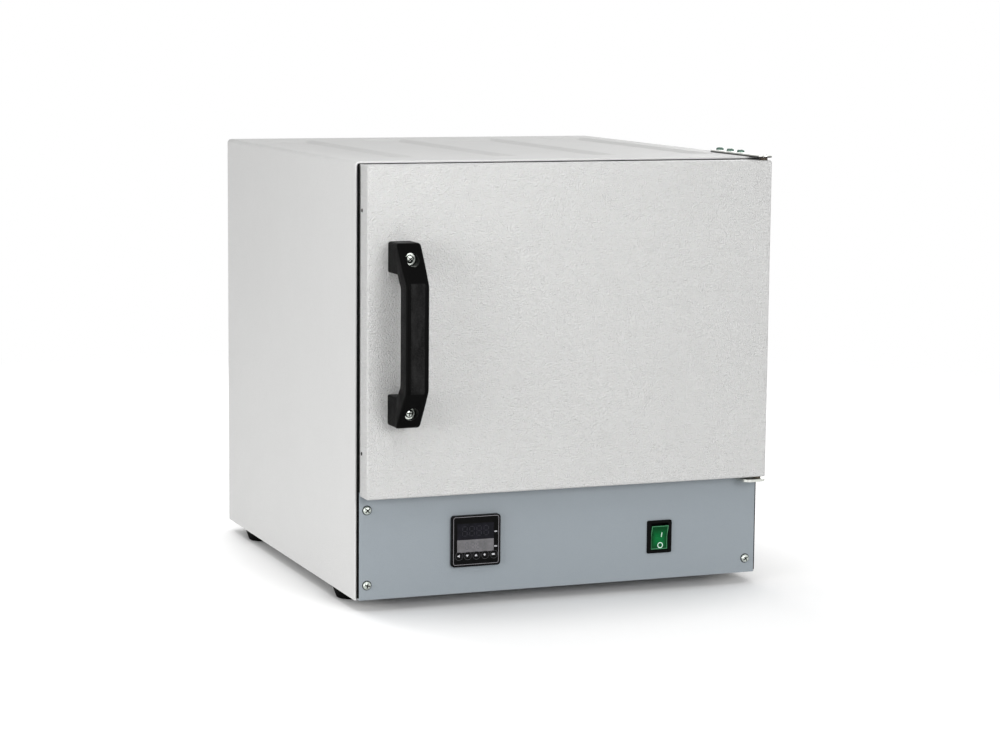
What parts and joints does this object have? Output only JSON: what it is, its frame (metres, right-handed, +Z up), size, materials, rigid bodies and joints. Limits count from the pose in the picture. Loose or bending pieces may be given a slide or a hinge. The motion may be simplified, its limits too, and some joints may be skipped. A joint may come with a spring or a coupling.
{
  "type": "dry heat sterilizer",
  "caption": "Bench-top hot air sterilizer: sheet metal case on rubber feet, side-hinged insulated door with bridge handle, control panel with digital controller and rocker switch.",
  "frame": {"origin": "on the resting surface, under the middle of the whole object's box", "axes": "+X to the right seen from the front, +Y to the rear, +Z up"},
  "size_m": [0.416, 0.5188, 0.4254],
  "materials": {
    "case_paint": "fine textured powder coat",
    "door_paint": "fine textured powder coat",
    "panel_paint": "blue-grey powder coat",
    "seal_black": "matt",
    "zinc_sheet": "zinc plated",
    "zinc_screw": "bright zinc plated",
    "hinge_steel": "zinc plated",
    "pin_steel": "turned steel",
    "dark_screw": "blackened",
    "stainless": "brushed",
    "silicone": "matt silicone",
    "wool": "mineral wool",
    "heater_steel": "heat tinted",
    "probe_steel": "bright",
    "bush_bronze": "sintered bronze",
    "handle_black": "fine grained",
    "catch_black": "matt",
    "controller_black": "satin",
    "controller_glass": "gloss",
    "key_grey": "satin",
    "switch_black": "satin",
    "rocker_green": "gloss",
    "electrics_black": "matt",
    "thermostat_cream": "matt",
    "inlet_black": "matt",
    "contact_brass": "bright",
    "foot_rubber": "matt"
  },
  "bodies": {
    "case": {"outer_shell": "case_paint", "rear_cover": "case_paint", "control_panel": "panel_paint", "edge_seal": "seal_black", "base_plate": "zinc_sheet", "front_post_left": "zinc_sheet", "front_post_right": "zinc_sheet", "compartment_deck": "zinc_sheet", "rear_screws": "zinc_screw", "panel_screws": "zinc_screw", "hinge_screws": "zinc_screw", "foot_screws": "zinc_screw", "vent_flap_screw": "zinc_screw", "top_hinge_plate": "hinge_steel", "bottom_hinge_bracket": "hinge_steel", "top_hinge_pin": "pin_steel", "bottom_hinge_pin": "pin_steel", "front_frame": "stainless", "chamber": "stainless", "heater_floor": "stainless", "shelf_rack_left": "stainless", "shelf_rack_right": "stainless", "shelf_lower": "stainless", "shelf_upper": "stainless", "chamber_gasket": "silicone", "chamber_insulation": "wool", "heating_element": "heater_steel", "control_sensor": "probe_steel", "safety_sensor": "probe_steel", "vent_tube": "probe_steel", "vent_collar": "probe_steel", "door_catch": "catch_black", "controller_bezel": "controller_black", "controller_housing": "controller_black", "controller_window": "controller_glass", "switch_housing": "switch_black", "relay": "electrics_black", "safety_thermostat": "thermostat_cream", "power_inlet": "inlet_black", "inlet_pins": "contact_brass", "foot_front_left": "foot_rubber", "foot_front_right": "foot_rubber", "foot_rear_left": "foot_rubber", "foot_rear_right": "foot_rubber"},
    "door": {"door_skin": "door_paint", "door_liner": "stainless", "door_insulation": "wool", "door_side_screws": "dark_screw", "door_bush_top": "bush_bronze", "door_bush_bottom": "bush_bronze", "door_handle": "handle_black", "handle_screws": "zinc_screw", "handle_nuts": "zinc_screw"},
    "rocker": {"switch_rocker": "rocker_green"},
    "flap": {"vent_flap": "probe_steel"},
    "key_1": {"controller_key_1": "key_grey"},
    "key_2": {"controller_key_2": "key_grey"},
    "key_3": {"controller_key_3": "key_grey"},
    "key_4": {"controller_key_4": "key_grey"},
    "key_5": {"controller_key_5": "key_grey"}
  },
  "joints": [
    {"name": "door_hinge", "type": "hinge", "parent": "case", "child": "door", "pos_m": [0.2, -0.19935, 0.2635], "axis": [0, 0, 1], "range_deg": [0, 180]},
    {"name": "rocker_pivot", "type": "hinge", "parent": "case", "child": "rocker", "pos_m": [0.1016, -0.18295, 0.0532], "axis": [1, 0, 0], "range_deg": [-14, 0]},
    {"name": "flap_pivot", "type": "hinge", "parent": "case", "child": "flap", "pos_m": [0.068, 0.25265, 0.339], "axis": [0, -1, 0], "range_deg": [0, 100]},
    {"name": "key_1_press", "type": "slide", "parent": "case", "child": "key_1", "axis": [0, 1, 0], "range_m": [0, 0.0005], "stiffness_N_per_m": 1500},
    {"name": "key_2_press", "type": "slide", "parent": "case", "child": "key_2", "axis": [0, 1, 0], "range_m": [0, 0.0005], "stiffness_N_per_m": 1500},
    {"name": "key_3_press", "type": "slide", "parent": "case", "child": "key_3", "axis": [0, 1, 0], "range_m": [0, 0.0005], "stiffness_N_per_m": 1500},
    {"name": "key_4_press", "type": "slide", "parent": "case", "child": "key_4", "axis": [0, 1, 0], "range_m": [0, 0.0005], "stiffness_N_per_m": 1500},
    {"name": "key_5_press", "type": "slide", "parent": "case", "child": "key_5", "axis": [0, 1, 0], "range_m": [0, 0.0005], "stiffness_N_per_m": 1500}
  ]
}
